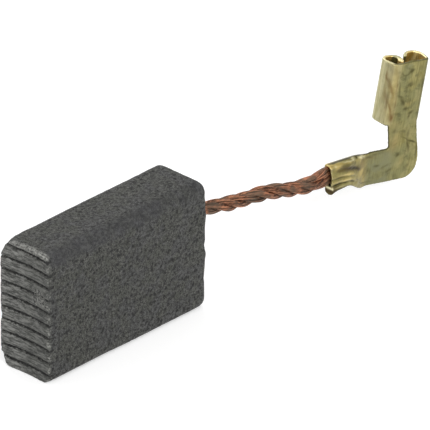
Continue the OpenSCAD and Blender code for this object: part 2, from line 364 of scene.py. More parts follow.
def carbon_material():
    m = new_material("pressed_carbon")
    p = m.scaled()
    x, y, z = m.split(p)
    near_y = -BLOCK_T / 2
    pit_tone = (0.005, 0.005, 0.0045)
    # tone of the pressed grain, at several sizes
    broad = m.noise(p, 0.25, 2, 0.6)
    cloud = m.noise(p, 0.45, 4, 0.65)
    middle = m.noise(p, 1.1, 3, 0.6)
    grain = m.noise(p, 2.8, 4, 0.85)
    fine = m.noise(p, 8.5, 2, 0.7)
    tone = m.mix(m.ramp(grain, 0.41, 0.61), (0.004, 0.004, 0.0036), (0.073, 0.074, 0.065))
    tone = m.mix(m.ramp(fine, 0.50, 0.66, 0.0, 0.75), tone, (0.15, 0.152, 0.137))
    tone = m.mix(m.ramp(middle, 0.42, 0.72, 0.0, 0.45), tone, (0.036, 0.039, 0.028))
    greyer = m.mix(m.ramp(grain, 0.38, 0.64), (0.012, 0.012, 0.013), (0.092, 0.092, 0.097))
    tone = m.mix(m.ramp(cloud, 0.46, 0.58, 0.0, 0.5), tone, greyer)
    pits = m.times(m.ramp(m.cells(p, 2.1), 0.30, 0.13), m.ramp(middle, 0.40, 0.54))
    dots = m.ramp(m.cells(m.scaled(move=(3, 5, 8)), 1.8), 0.38, 0.22)
    dots = m.times(dots, m.ramp(m.noise(p, 1.3, 3, 0.7), 0.42, 0.50))
    pits = m.math("MAXIMUM", pits, dots)
    # the rounded near edge is smoother and a little darker
    smooth = m.times(m.ramp(y, -1.5, -2.5), m.ramp(z, BLOCK_H - 1.7, BLOCK_H - 0.8))
    smooth = m.times(smooth, m.ramp(broad, 0.40, 0.52, 0.6, 1.0))
    darker = m.mix(m.ramp(grain, 0.36, 0.66), (0.022, 0.022, 0.024), (0.046, 0.046, 0.050))
    tone = m.mix(m.times(smooth, 0.6), tone, darker)
    pits = m.times(pits, m.ramp(smooth, 0.0, 1.0, 0.92, 0.3))
    tone = m.mix(pits, tone, pit_tone)
    tone = m.mix(m.ramp(z, BLOCK_H - 0.5, BLOCK_H - 0.1, 0.0, 0.1), tone, pit_tone)
    # the contact face: depth behind the ribs' crowns, and height from the nearest groove
    run = m.math("SUBTRACT", x, COMMUTATOR_X)
    rho = m.math("SQRT", m.math("ADD", m.times(run, run), m.times(y, y)))
    depth = m.math("SUBTRACT", rho, COMMUTATOR_R)
    off = m.math("PINGPONG", m.math("SUBTRACT", z, LOW_MARGIN), GROOVE_PITCH / 2)
    ragged = m.math("ADD", off, m.ramp(m.noise(p, 3.0, 3, 0.7), 0.3, 0.7, -0.07, 0.07))
    across = m.ramp(m.math("ABSOLUTE", y), BLOCK_T / 2 + 0.02, BLOCK_T / 2 - 0.04)
    facing = m.times(m.ramp(depth, 0.55, 0.40), across)
    on_rib = m.times(facing, m.ramp(ragged, 0.07, 0.17))
    in_groove = m.times(m.ramp(depth, 0.8, 0.6), m.ramp(y, 3.05, 2.5, 0.1, 1.0))
    in_groove = m.times(m.ramp(ragged, 0.15, 0.06), in_groove)
    # a chip between two ribs
    chip_y, chip_z = m.math("SUBTRACT", CHIP_Y, y), m.math("SUBTRACT", CHIP_Z, z)
    chip = m.math("ADD", m.times(chip_y, m.times(chip_y, 0.7)), m.times(chip_z, chip_z))
    chip = m.math("ADD", chip, m.ramp(m.noise(p, 1.4, 3, 0.7), 0.3, 0.7, -0.5, 0.5))
    chip = m.times(facing, m.ramp(chip, 1.0, 0.5))
    # ribs rubbed along their length, and painted lighter towards the far half as painted light on
    # the concave face
    rubbed = m.ramp(m.noise(m.scaled(1, 0.3, 1.8), 3.4, 3, 0.7), 0.36, 0.66)
    far_half_light = m.ramp(y, -1.5, 2.6, 0.35, 1.0)
    polish_and_light = m.mix(far_half_light, (0.105, 0.107, 0.096), (0.26, 0.26, 0.245))
    tone = m.mix(m.times(on_rib, 0.8), tone, m.mix(rubbed, (0.036, 0.037, 0.033), polish_and_light))
    # painted shade in the grooves, less where the chip breaks them
    groove_shade = m.times(in_groove, m.ramp(chip, 0.0, 1.0, 0.9, 0.35))
    tone = m.mix(groove_shade, tone, (0.007, 0.007, 0.0065))
    crumbs = m.ramp(m.noise(p, 4.2, 3, 0.75), 0.42, 0.58)
    crumbs = m.mix(crumbs, (0.010, 0.010, 0.009), (0.21, 0.21, 0.195))
    tone = m.mix(m.times(chip, 0.85), tone, crumbs)
    # bright broken grain along the face's top edge and at the ribs' near ends
    top_strip = m.times(m.ramp(depth, 0.85, 0.35), m.ramp(z, BLOCK_H - 0.5, BLOCK_H - 0.22))
    top_strip = m.times(top_strip, m.ramp(y, 2.6, -2.4, 0.45, 1.0))
    near_end = m.times(m.ramp(depth, 0.45, 0.2), m.ramp(y, near_y + 0.42, near_y + 0.12))
    patchy = m.ramp(m.noise(p, 1.7, 2, 0.6), 0.48, 0.58)
    near_end = m.times(near_end, m.times(m.ramp(off, 0.3, 0.5), patchy))
    broken = m.ramp(m.noise(p, 5.0, 3, 0.75), 0.42, 0.6)
    broken = m.times(m.math("MAXIMUM", top_strip, near_end), broken)
    tone = m.mix(broken, tone, (0.34, 0.34, 0.315))
    height = m.math("ADD", grain, m.times(fine, 0.35))
    height = m.math("SUBTRACT", height, m.times(pits, 0.9))
    return m.finish(
        Base_Color=tone, Roughness=m.ramp(grain, 0.3, 0.7, 0.75, 0.55), Specular_IOR_Level=0.35,
        Normal=m.bump(height, 0.14, 0.9),
    )


def powder_material():
    m = new_material("contact_powder")
    grain = m.noise(m.scaled(), 7, 4, 0.7)
    tone = m.mix(m.ramp(grain, 0.35, 0.65), (0.10, 0.05, 0.032), (0.42, 0.22, 0.13))
    return m.finish(Base_Color=tone, Metallic=0.5, Roughness=0.6, Normal=m.bump(grain, 0.12, 1.0))


def copper_material():
    m = new_material("flex_copper")
    wide = m.noise(m.scaled(), 0.7, 2, 0.6)
    fine = m.noise(m.scaled(0.3), 5.5, 3, 0.65)
    own = m.times(m.painted("wire_tone"), 0.6)
    mixed = m.math("ADD", own, m.times(m.ramp(fine, 0.3, 0.7), 0.4))
    tone = m.mix(m.ramp(mixed, 0.15, 0.85), (0.062, 0.029, 0.017), (0.52, 0.235, 0.130))
    tone = m.mix(m.ramp(wide, 0.42, 0.62, 0.0, 0.7), tone, (0.120, 0.098, 0.072))
    # darker towards the crimp's mouth, as painted shade where the wires go into it
    run = m.split(m.framed(CRIMP_TURN, MOUTH))[0]
    tone = m.mix(m.ramp(run, -0.5, 0.1, 0.0, 0.55), tone, (0.060, 0.022, 0.011))
    return m.finish(
        Base_Color=tone, Metallic=0.8, Roughness=m.ramp(wide, 0.3, 0.7, 0.3, 0.5),
        Normal=m.bump(fine, 0.02, 0.5),
    )


# a dark core inside each strand, as painted shade under and between the wires
def shaded_core_material():
    m = new_material("flex_core")
    tone = m.mix(m.noise(m.scaled(), 6, 3, 0.6), (0.03, 0.014, 0.008), (0.10, 0.045, 0.026))
    return m.finish(Base_Color=tone, Metallic=0.3, Roughness=0.7)


def brass_material():
    m = new_material("terminal_brass")
    p = m.scaled()
    flag = m.framed(FLAG_TURN, FLAG_O)
    a, _, c = m.split(flag)  # along the strip, and up the neck
    broad = m.noise(p, 0.42, 3, 0.6)
    patch = m.noise(m.scaled(move=(31, 7, 3)), 0.75, 3, 0.6, 0.3)
    blotch = m.noise(m.scaled(move=(5, 17, 9)), 1.25, 4, 0.62, 0.3)
    drawn = m.noise(m.mapped(flag, Scale=(3.0, 3.0, 0.28)), 1.5, 3, 0.6)
    speck = m.noise(p, 6, 3, 0.7)
    tone = m.mix(m.ramp(drawn, 0.34, 0.66), (0.194, 0.173, 0.062), (0.330, 0.298, 0.122))
    tone = m.mix(m.ramp(broad, 0.40, 0.60, 0.0, 0.7), tone, (0.205, 0.202, 0.094))
    tone = m.mix(m.ramp(patch, 0.50, 0.70, 0.0, 0.65), tone, (0.33, 0.295, 0.135))
    tone = m.mix(m.ramp(patch, 0.46, 0.30, 0.0, 0.6), tone, (0.12, 0.118, 0.052))
    # the tight roll of the receptacle painted paler, as painted highlight, with drawn streaks
    lit_wing = m.times(m.ramp(a, 0.05, -0.95), m.ramp(c, 2.4, 2.9))
    streaks = m.mix(m.ramp(drawn, 0.34, 0.64), (0.38, 0.35, 0.185), (0.54, 0.50, 0.30))
    streaks = m.mix(m.ramp(patch, 0.46, 0.3, 0.0, 0.5), streaks, (0.33, 0.325, 0.21))
    tone = m.mix(lit_wing, tone, streaks)
    # cloudy stains, and the greyer strip
    stained = m.times(m.ramp(blotch, 0.48, 0.74), m.ramp(speck, 0.25, 0.6, 0.5, 1.0))
    stained = m.times(stained, m.ramp(lit_wing, 0.0, 1.0, 0.7, 0.15))
    tone = m.mix(stained, tone, (0.085, 0.086, 0.040))
    grey = m.times(m.ramp(c, 0.3, -0.5), m.ramp(a, -2.7, -2.3))
    grey = m.times(m.ramp(a, 1.6, -0.4), grey)
    grey = m.times(grey, m.ramp(patch, 0.36, 0.60, 0.35, 0.9))
    tone = m.mix(grey, tone, (0.205, 0.207, 0.118))
    # worked metal of the crimp, stains, painted highlights, and dirt with painted shade
    at_crimp = m.ramp(a, -2.0, -3.0)
    mottle = m.ramp(patch, 0.35, 0.65)
    tone = m.mix(m.times(at_crimp, 0.45), tone, (0.290, 0.235, 0.078))
    gold = m.mix(at_crimp, (0.42, 0.345, 0.145), (0.68, 0.52, 0.18))
    gold = m.mix(mottle, (0.27, 0.215, 0.085), gold)
    inner = m.mix(mottle, (0.62, 0.44, 0.13), (0.90, 0.78, 0.42))
    brown_and_shade = m.mix(at_crimp, (0.165, 0.098, 0.034), (0.060, 0.036, 0.016))
    tone = m.mix(m.painted("gold"), tone, gold)
    # the inside of the receptacle painted brighter, as painted reflected light
    tone = m.mix(m.painted("inner"), tone, inner)
    # brown: stains, and painted shade in the crimp's hollow, its grooves and under its bead
    tone = m.mix(m.painted("brown_and_shade"), tone, brown_and_shade)
    # painted highlights: glints and bright rims, and ridges partly rubbed, partly painted highlight
    tone = m.mix(m.painted("bright"), tone, (0.86, 0.80, 0.50))
    # darker marks: dirt, and painted shade in hollows, grooves and along edges
    dirt_and_shade_share = m.times(m.painted("dirt_and_shade"), m.ramp(speck, 0.2, 0.6, 0.75, 1.0))
    dirt_and_shade_tone = m.mix(at_crimp, (0.088, 0.079, 0.032), (0.042, 0.038, 0.014))
    tone = m.mix(m.ramp(dirt_and_shade_share, -0.3, 0.95, -0.12, 1.0), tone, dirt_and_shade_tone)
    height = m.math("ADD", m.times(drawn, 0.6), m.times(speck, 0.6))
    return m.finish(
        Base_Color=tone, Metallic=0.85, Specular_IOR_Level=0.0,
        Roughness=m.ramp(blotch, 0.35, 0.7, 0.28, 0.48), Normal=m.bump(height, 0.03, 0.5),
    )


carbon = carbon_material()
powder = powder_material()
copper = copper_material()
core = shaded_core_material()
brass = brass_material()

# --- Carbon block -------------------------------------------------------------------------------

EDGE_TURN = 0.45  # angle of the long edges that the rows of rings take in
RING_ROWS = 194
FACE_POINTS, FACE_SPREAD = 70, 0.86
SIDE_POINTS, BACK_POINTS, BEND_POINTS = 102, 22, 7
BORE_SIDES = 48


def rib_radius(z):
    """Distance of the contact face from the commutator's axis, at height z."""
    half = (GROOVE_PITCH - GROOVE_W) / 2
    rib_r = (half * half + RIB_CROWN * RIB_CROWN) / (2 * RIB_CROWN)
    # distance from the middle of the nearest groove, and of the nearest rib
    off = abs((z - LOW_MARGIN + GROOVE_PITCH / 2) % GROOVE_PITCH - GROOVE_PITCH / 2)
    if off < GROOVE_W / 2:
        return COMMUTATOR_R + RIB_CROWN + GROOVE_DEPTH * (1 - off / (GROOVE_W / 2))
    from_rib = GROOVE_PITCH / 2 - off
    return COMMUTATOR_R + rib_r - math.sqrt(max(rib_r**2 - from_rib**2, 0))


def rounded_in(half, r, edge):
    """Half a width at a distance from the edge, which is rounded with radius r."""
    return half if edge >= r else half - r + math.sqrt(max(r * r - (r - edge) ** 2, 0))


def block_stations():
    """Height of each ring, and how far it is drawn in on the flat underside or top."""
    first = LOW_EDGE_R * (1 - np.cos(np.linspace(0, EDGE_TURN, 7)))
    last = BLOCK_H - HIGH_EDGE_R * (1 - np.cos(np.linspace(EDGE_TURN, 0, 8)))
    heights = np.concatenate([first[:-1], np.linspace(first[-1], last[0], RING_ROWS), last[1:]])
    low = [BLOCK_T / 2 - LOW_EDGE_R, 1.4, 0.7, 0.3, 0.12]
    top = [0.05, 0.1, 0.16, 0.24, 0.34, 0.46, 0.6, 0.78, 1.0, 1.3, BLOCK_T / 2 - HIGH_EDGE_R]
    return [(0.0, d) for d in low] + [(z, 0.0) for z in heights] + [(BLOCK_H, d) for d in top]


def block_ring(z, d):
    """The block's outline at a height, and each point's distance from the face's sides."""
    half_t = BLOCK_T / 2
    edge = min(z, BLOCK_H - z)
    low = z < BLOCK_H / 2
    near_r, far_r = (LOW_EDGE_R, LOW_EDGE_R) if low else (HIGH_EDGE_R, FAR_EDGE_R)
    left = 1 - d / (half_t - near_r)
    near_w, far_w = (left * rounded_in(half_t, r, edge) for r in (near_r, far_r))
    back_x = rounded_in(BLOCK_L / 2, BACK_EDGE_R if low else BACK_TOP_R, edge) - d
    bend_r = max(min(BACK_EDGE_R, near_w), 0.0)
    bend_x = back_x - bend_r
    widest = math.pi / 2 * FACE_SPREAD
    ys = np.sin(np.linspace(-1, 1, FACE_POINTS) * widest) / math.sin(widest)
    ys = (far_w - near_w) / 2 + ys * (far_w + near_w) / 2
    # ribs and grooves run out just before the face's sides
    opened = np.minimum(step(0.0, 0.45, far_w - ys), step(0.0, 0.3, near_w + ys))
    open_share = SHUT_SHARE + (1 - SHUT_SHARE) * opened
    shut_r = COMMUTATOR_R + SHUT_DEPTH
    rho = shut_r + (rib_radius(z) - shut_r) * open_share
    face = np.column_stack([COMMUTATOR_X + np.sqrt(rho**2 - ys**2) + d, ys])
    side_t = np.linspace(0, 1, SIDE_POINTS + 2)[1:-1]
    side_t = 0.25 * side_t + 0.75 * side_t**1.5
    a = np.linspace(0, math.pi / 2, BEND_POINTS)
    far, near = (
        np.column_stack([x0 + (bend_x - x0) * side_t, np.full(SIDE_POINTS, w)])
        for x0, w in ((face[-1, 0], far_w), (face[0, 0], near_w))
    )
    far_bend, near_bend = (
        np.column_stack([bend_x + bend_r * np.sin(a), w - bend_r + bend_r * np.cos(a)])
        for w in (far_w, near_w)
    )
    back_y = np.linspace(far_w - bend_r, bend_r - near_w, BACK_POINTS + 2)[1:-1]
    back = np.column_stack([np.full(BACK_POINTS, back_x), back_y])
    near_side = [(near_bend * [1, -1])[::-1], (near * [1, -1])[::-1]]
    loop = np.vstack([face, far, far_bend, back, *near_side])
    along = np.full(len(loop), 9.0)
    along[:FACE_POINTS] = np.minimum(ys + near_w, far_w - ys)
    along[FACE_POINTS : FACE_POINTS + SIDE_POINTS] = far[:, 0] - face[-1, 0]
    along[-SIDE_POINTS:] = (near[:, 0] - face[0, 0])[::-1]
    return np.column_stack([loop, np.full(len(loop), z)]), along


def worn(points, faces, along):
    """The block's points with roughness, worn edges and chips."""
    mesh = bpy.data.meshes.new("unworn")
    mesh.from_pydata([tuple(p) for p in points], [], faces)
    mesh.update()
    normals = read_normals(mesh)
    edges = edges_of(mesh)
    bpy.data.meshes.remove(mesh)
    from_axis = np.hypot(points[:, 0] - COMMUTATOR_X, points[:, 1])
    on_face = step(0.9, 0.45, from_axis - COMMUTATOR_R)
    vertical_edge = bell(along, 0, 0.22) * on_face
    top_edge = bell(np.minimum(BLOCK_H - points[:, 2], 9), 0, 0.35) * on_face
    chipping = np.maximum(vertical_edge, top_edge)
    points = relax(points, edges, 3, 0.5, np.clip(chipping * 0.9, 0, 1))
    push = (layered(points, 0.45, 3) - 0.5) * 0.05 + (noise(points, 3.1, 5.0) - 0.5) * 0.05
    push -= chipping * step(0.5, 0.8, layered(points, 0.55, 3, 40.0)) * 0.3
    push -= step(0.68, 0.82, layered(points, 0.7, 2, 20.0)) * 0.06
    # the near back edge is uneven
    x, y, z = points.T
    lean = sum(depth * bell(z, at, width) for at, width, depth in BACK_EDGE_WAVE)
    push += lean * bell(np.hypot(x - BLOCK_L / 2, y + BLOCK_T / 2), 0, 0.9)
    # a chip between two ribs of the face
    chip = on_face * bell(np.hypot((y - CHIP_Y) / 1.2, z - CHIP_Z), 0, 0.7)
    push -= chip * step(0.40, 0.62, layered(points, 0.35, 3, 60.0)) * 0.16
    points = points + normals * push[:, None]
    for at, size, depth in WORN_CORNERS:
        inwards = unit(np.array([1, -np.sign(at[1]), np.sign(BLOCK_H / 2 - at[2])]))
        near_it = bell(np.linalg.norm(points - at, axis=1), 0, size)[:, None]
        points = points + inwards * depth * near_it
    return points


def bore_hole(piece):
    """Cuts the blind hole in the back."""
    n = BORE_SIDES
    a = np.linspace(0, 2 * math.pi, n + 1)[:-1]
    ring = np.column_stack([np.zeros(n), HOLE_D / 2 * np.cos(a), HOLE_D / 2 * np.sin(a) + FLEX_Z])
    bottom, past = BLOCK_L / 2 - HOLE_DEPTH, BLOCK_L / 2 + 1
    rims = np.vstack([ring + [bottom, 0, 0], ring + [past, 0, 0]])
    faces = [(k, (k + 1) % n, n + (k + 1) % n, n + k) for k in range(n)]
    faces += [tuple(range(n - 1, -1, -1)), tuple(range(n, 2 * n))]
    bore = make_object("bore", rims, faces, carbon)
    cut = piece.modifiers.new("bore", "BOOLEAN")
    cut.operation = "DIFFERENCE"
    cut.solver = "EXACT"
    cut.object = bore
    applied(piece)
    bpy.data.objects.remove(bore)


def build_block():
    rings, distances = zip(*(block_ring(z, d) for z, d in block_stations()))
    n = len(rings[0])
    faces = []
    for s in range(len(rings) - 1):
        a, b = s * n, (s + 1) * n
        for k in range(n):
            j = (k + 1) % n
            faces.append((a + k, b + k, b + j, a + j))
    points = worn(np.vstack(rings), faces, np.concatenate(distances))
    piece = make_object("carbon_body", points, faces, carbon)
    work = bmesh.new()
    work.from_mesh(piece.data)
    bmesh.ops.remove_doubles(work, verts=work.verts, dist=2e-3 * MM)
    bmesh.ops.recalc_face_normals(work, faces=work.faces)
    work.to_mesh(piece.data)
    work.free()
    set_smooth(piece.data)
    bore_hole(piece)
    return piece


block = build_block()
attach(block, "root")
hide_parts("carbon_block")

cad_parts["contact_plug"].data.materials.clear()
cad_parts["contact_plug"].data.materials.append(powder)

# --- Flex ---------------------------------------------------------------------------------------

SPINE_STEP = 0.22
WIRE_R = 0.04
WIRE_SIDES = 6
WIRE_LAY = 14.0
WIRE_LAYERS = ((26, 1.0), (9, 0.62))  # wires, and share of the strand's radius
INNER_TONE = 0.4  # how bright the inner wires may be, darker as painted shade inside the strand
CORE_INSET = 0.13  # depth of the core below the outer wires
CORE_SIDES = 10
IN_HOLE = 1.2  # how far the wires reach into the hole
FIRST_SEED = 20
FULL_TURN = 6.28  # for the wires' random start


def build_spine(spacing):
    """The flex's middle line, with a point at each spacing, and each point's run along it."""
    in_block = [(x, 0, 0) for x in (-7, -5.4, -3.6, -1.8)]
    knots = [START + np.array(p) for p in in_block + FLEX_RUN]
    knots += [MOUTH + CRIMP_ALONG * CRIMP_L * s / 2 for s in (1, 2, 3)]
    knots = np.array(knots)
    line = []
    for i in range(1, len(knots) - 2):
        a, b, c, d = knots[i - 1 : i + 3]
        slope, bend, twist = c - a, 2 * a - 5 * b + 4 * c - d, 3 * b - a - 3 * c + d
        for t in np.linspace(0, 1, 24, endpoint=False):
            line.append((2 * b + slope * t + bend * t**2 + twist * t**3) / 2)
    line.append(knots[-2])
    line = np.array(line)
    run = np.concatenate([[0], np.cumsum(np.linalg.norm(np.diff(line, axis=0), axis=1))])
    at = np.linspace(0, run[-1], int(run[-1] / spacing) + 1)
    return np.column_stack([np.interp(at, run, line[:, k]) for k in range(3)]), at


def frames(path):
    """Directions across and up from each point of a path."""
    along = unit(np.gradient(path, axis=0))
    across = unit(np.cross(CRIMP_UP, along))
    return across, np.cross(along, across)


def tube(path, radius, sides, turn=0.0):
    """Points and faces of a closed tube, with a radius at each point of the path."""
    across, up = frames(path)
    a = np.arange(sides) * 2 * math.pi / sides + turn
    radius = np.broadcast_to(radius, len(path))
    out = across[:, None] * np.cos(a)[None, :, None] + up[:, None] * np.sin(a)[None, :, None]
    points = (path[:, None] + out * radius[:, None, None]).reshape(-1, 3)
    faces = []
    for i in range(len(path) - 1):
        for k in range(sides):
            j = (k + 1) % sides
            faces.append((i * sides + k, i * sides + j, (i + 1) * sides + j, (i + 1) * sides + k))
    last = (len(path) - 1) * sides
    faces.append(tuple(range(sides - 1, -1, -1)))
    faces.append(tuple(last + k for k in range(sides)))
    return points, faces


def press_flat(points):
    """Points near the crimp, pressed towards its back sheet and towards its axis."""
    local = (points - MOUTH) @ CRIMP_TURN
    run = local[:, 0]
    local[:, 1] = BACK_T - (BACK_T - local[:, 1]) * (1 - 0.36 * step(-1.6, 0.1, run))
    local[:, 2] *= 1 - 0.1 * step(-0.4, 1.0, run)
    return local @ CRIMP_TURN.T + MOUTH


def strand_centre(n, rng):
    """A strand's middle line and run, how far it is pressed flat, and its share of the flare."""
    spine, run = build_spine(SPINE_STEP)
    across, up = frames(spine)
    mouth_x = MOUTH[0] - 0.2
    flare = (spine[:, 0] - (mouth_x - FLARE_L)) / FLARE_L
    still_x = mouth_x - FLARE_L * (1 - STILL_AT)
    phase = ROW_PHASE + np.minimum(0, spine[:, 0] - still_x) * 360 / LAY_L
    pressed = 1 + (SQUEEZE - 1) * step(0, 1, flare)
    a = np.radians(phase + n * 90)
    row = ROW_HALF / math.sin(math.radians(90 + ROW_PHASE))
    tall = (RING_R + (row - RING_R) * step(0.15, 1, flare)) * pressed
    wide = RING_R * (1 - step(0.2, 1, flare))
    uneven = np.interp(run, np.linspace(run[0], run[-1], 15), rng.randn(15) * 0.05)
    sideways = across * ((wide + uneven) * np.cos(a))[:, None]
    centre = spine + sideways + up * ((tall + uneven) * np.sin(a))[:, None]
    keep = (spine[:, 0] > START[0] - IN_HOLE) & ((spine - MOUTH) @ CRIMP_ALONG < WIRES_END)
    return centre[keep], run[keep], pressed[keep], flare[keep]


def build_strand(n, seed):
    rng = np.random.RandomState(seed)
    centre, run, pressed, flare = strand_centre(n, rng)
    across, up = frames(centre)
    # near the block, and between the lay and the crimp, the wires spread and close the gaps
    spread = 1.1 + 0.22 * step(0.0, 0.35, flare) * step(1.15, 0.8, flare)
    spread = spread + 0.18 * step(2.2, 0.6, centre[:, 0] - START[0])

    def random_along(values):
        return np.interp(run, np.linspace(run[0], run[-1], len(values)), values)

    points, faces, tones, made = [], [], [], 0
    for layer, (wires, share) in enumerate(WIRE_LAYERS):
        reach = (STRAND_D / 2 - WIRE_R) * share
        start_angle = rng.rand() * FULL_TURN
        for w in range(wires):
            wobble = random_along(rng.randn(14) * 0.11)
            depth = random_along(rng.rand(11) * 0.04) - (0.03 if rng.rand() < 0.15 else 0)
            b = start_angle + w * 2 * math.pi / wires - run * 2 * math.pi / WIRE_LAY + wobble
            out = (reach - depth) * spread
            sideways = across * (out * np.cos(b))[:, None]
            path = centre + sideways + up * (out * np.sin(b) * pressed)[:, None]
            thickness = WIRE_R * (0.9 + 0.25 * rng.rand())
            p, f = tube(press_flat(path), thickness, WIRE_SIDES, rng.rand())
            faces += [tuple(v + made for v in q) for q in f]
            points.append(p)
            # inner wires get darker tones, as painted shade inside the strand
            tones.append(np.full(len(p), rng.rand() * (1.0 if layer == 0 else INNER_TONE)))
            made += len(p)
    piece = make_object(f"flex_strand_{n + 1}", np.vstack(points), faces, copper)
    carry(piece.data, "wire_tone", np.concatenate(tones))
    # the dark core fills the strand under its wires, as painted shade
    core_r = (STRAND_D / 2 - CORE_INSET) * spread
    core_points, core_faces = tube(press_flat(centre), core_r, CORE_SIDES)
    inner = make_object(f"flex_core_{n + 1}", core_points, core_faces, core)
    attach(inner, "root")
    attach(piece, "root")
    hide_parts(f"strand_{n + 1}")


for n in range(STRANDS):
    build_strand(n, FIRST_SEED + n)

# --- Terminal -----------------------------------------------------------------------------------

# Marks on the crimp: run, grid, half length, half width, strength
# the bright marks are painted glints, and the brown and dark marks are partly painted shade
CRIMP_MARKS = {
    "gold": [
        (-0.1, 0.05, 0.8, 0.07, 1.0), (1.0, 0.10, 0.6, 0.10, 0.9), (4.9, 0.10, 0.55, 0.30, 1.0),
        (2.0, 0.42, 1.8, 0.05, 0.7), (1.6, 0.60, 1.6, 0.05, 0.8), (2.4, 0.0, 1.4, 0.03, 0.6),
        (5.0, 0.45, 0.7, 0.2, 0.6), (6.0, -0.07, 0.6, 0.05, 0.5),
    ],
    "brown_and_shade": [
        (1.1, 0.24, 0.5, 0.05, 0.6), (1.9, 0.19, 0.7, 0.10, 0.7), (2.6, 0.23, 0.8, 0.10, 0.8),
        (3.3, 0.245, 1.0, 0.070, 1.0), (4.1, 0.26, 0.5, 0.05, 0.8), (2.2, 0.05, 1.2, 0.03, 0.4),
        (0.5, 0.74, 0.6, 0.03, 0.6), (0.15, 0.87, 0.7, 0.13, 1.0), (1.4, 0.94, 1.4, 0.07, 0.9),
    ],
    "bright": [
        (3.15, -0.08, 0.26, 0.042, 1.0), (4.6, -0.115, 0.5, 0.040, 1.0),
        (2.3, -0.03, 0.8, 0.016, 0.6), (0.5, 0.06, 0.2, 0.03, 0.4), (2.0, 0.41, 1.0, 0.02, 0.2),
        (1.5, 0.60, 1.1, 0.025, 0.25), (-0.1, 0.36, 0.12, 0.16, 0.3),
        (0.12, 0.78, 0.12, 0.035, 0.9), (1.2, 0.80, 0.8, 0.016, 0.3),
    ],
    "dirt_and_shade": [
        (3.75, -0.10, 0.2, 0.05, 0.7), (0.8, 0.69, 0.7, 0.030, 1.0), (1.9, 0.70, 0.6, 0.022, 0.8),
        (3.0, 0.69, 0.35, 0.035, 0.8), (3.9, 0.60, 0.5, 0.022, 0.5), (0.9, 0.49, 0.8, 0.022, 0.55),
        (2.6, 0.50, 0.9, 0.016, 0.45), (1.7, 0.09, 1.0, 0.02, 0.4), (1.4, 0.90, 1.5, 0.05, 0.85),
        (3.3, 0.25, 0.7, 0.040, 0.9), (5.9, -0.08, 0.7, 0.045, 0.5), (6.0, 0.32, 0.25, 0.06, 0.4),
        (5.2, 0.66, 1.2, 0.022, 0.5),
    ],
}
# Marks on the flag: along, up, half length, half width, angle, strength
FLAG_MARKS = {
    "gold": [
        (0.55, 0.9, 1.1, 0.5, 90, 0.6), (0.3, 2.6, 0.5, 0.4, 0, 0.4),
        (-0.72, 6.4, 4.2, 0.50, 92, 1.0), (1.3, 4.9, 0.35, 0.25, 0, 0.45),
        (1.7, -1.6, 0.6, 0.3, 80, 0.4),
    ],
    "brown_and_shade": [
        (-1.30, 7.9, 0.8, 0.09, 100, 0.7), (-0.95, 6.8, 0.6, 0.10, 105, 0.7),
        (-1.20, 5.5, 1.1, 0.07, 95, 0.5), (-0.80, 4.6, 0.9, 0.10, 108, 0.8),
        (-0.48, 3.6, 0.50, 0.28, 100, 1.0), (-0.45, 7.0, 0.9, 0.07, 95, 0.5),
        (-0.30, 5.2, 0.8, 0.06, 90, 0.5), (0.35, 0.5, 0.8, 0.5, 90, 0.25),
    ],
    "bright": [],
    "dirt_and_shade": [
        (1.12, 8.45, 0.36, 0.17, 25, 0.95), (0.3, 8.2, 0.5, 0.06, 10, 0.5),
        (1.15, 7.0, 0.42, 0.26, 30, 0.7), (1.3, 6.8, 0.25, 0.12, 40, 0.5),
        (0.85, 6.5, 0.45, 0.10, 80, 0.5), (-0.05, 6.7, 0.9, 0.10, 98, 0.55),
        (0.25, 5.75, 0.45, 0.12, -30, 0.6), (0.60, 5.15, 0.55, 0.16, -55, 0.85),
        (1.10, 4.35, 0.35, 0.18, 10, 0.75), (1.78, 3.80, 0.36, 0.20, 20, 0.85),
        (1.62, 3.35, 0.26, 0.16, 80, 0.75), (0.22, 3.85, 0.22, 0.16, 0, 0.45),
        (0.2, 2.0, 0.32, 0.26, 0, 0.5), (2.05, 1.35, 0.5, 0.16, 90, 0.55),
        (2.15, 0.1, 0.9, 0.16, -75, 0.7), (2.65, 0.42, 0.55, 0.09, -32, 0.9),
        (1.9, 0.8, 0.9, 0.05, -30, 0.5), (1.15, -0.85, 0.26, 0.18, 60, 0.8),
        (-1.25, -1.7, 0.30, 0.14, 0, 0.6), (0.3, -2.45, 0.45, 0.16, 10, 0.55),
        (-0.2, -1.9, 0.5, 0.12, 20, 0.4), (3.30, -0.6, 0.8, 0.10, 95, 0.8),
        (1.9, 8.0, 0.8, 0.06, 90, 0.4), (2.68, 6.2, 3.6, 0.13, 90, 0.5),
        (2.3, 6.3, 1.5, 0.08, 88, 0.3), (-1.9, -2.2, 0.35, 0.12, 80, 0.35),
        (2.6, -2.2, 0.5, 0.2, 60, 0.35), (-1.7, -0.25, 0.5, 0.14, 0, 0.5),
    ],
}
VOXEL = 0.055
SKIN_RUNS, NEAR_ROWS, BACK_ROWS = 128, 110, 54  # points of the crimp's skin
SKIN_OVERLAP = 0.4  # how far the skin runs into the strip
FOLD_R, CUT_R = 0.36, 0.03  # edges of the folded crimp, and of cut sheet


def strip_face(s, h, b):
    """Depth of the strip's plane, b behind its near face, seen from the crimp."""
    n = FLAG_IN_CRIMP[:, 1]
    return (b + n @ FLAG_AT - n[0] * s - n[2] * h) / n[1]


def strip_edge(s, c):
    """Height of the strip's edge at c, seen from the crimp."""
    at, along = FLAG_AT + FLAG_IN_CRIMP[:, 2] * c, FLAG_IN_CRIMP[:, 0]
    return at[2] + (s - at[0]) * along[2] / along[0]


def crimp_top(s):
    top = 1.15 - 0.1 * s
    return top + (strip_edge(s, 0) - top) * step(3.0, 6.0, s) + 0.05 * bell(s, 4.6, 1.0)


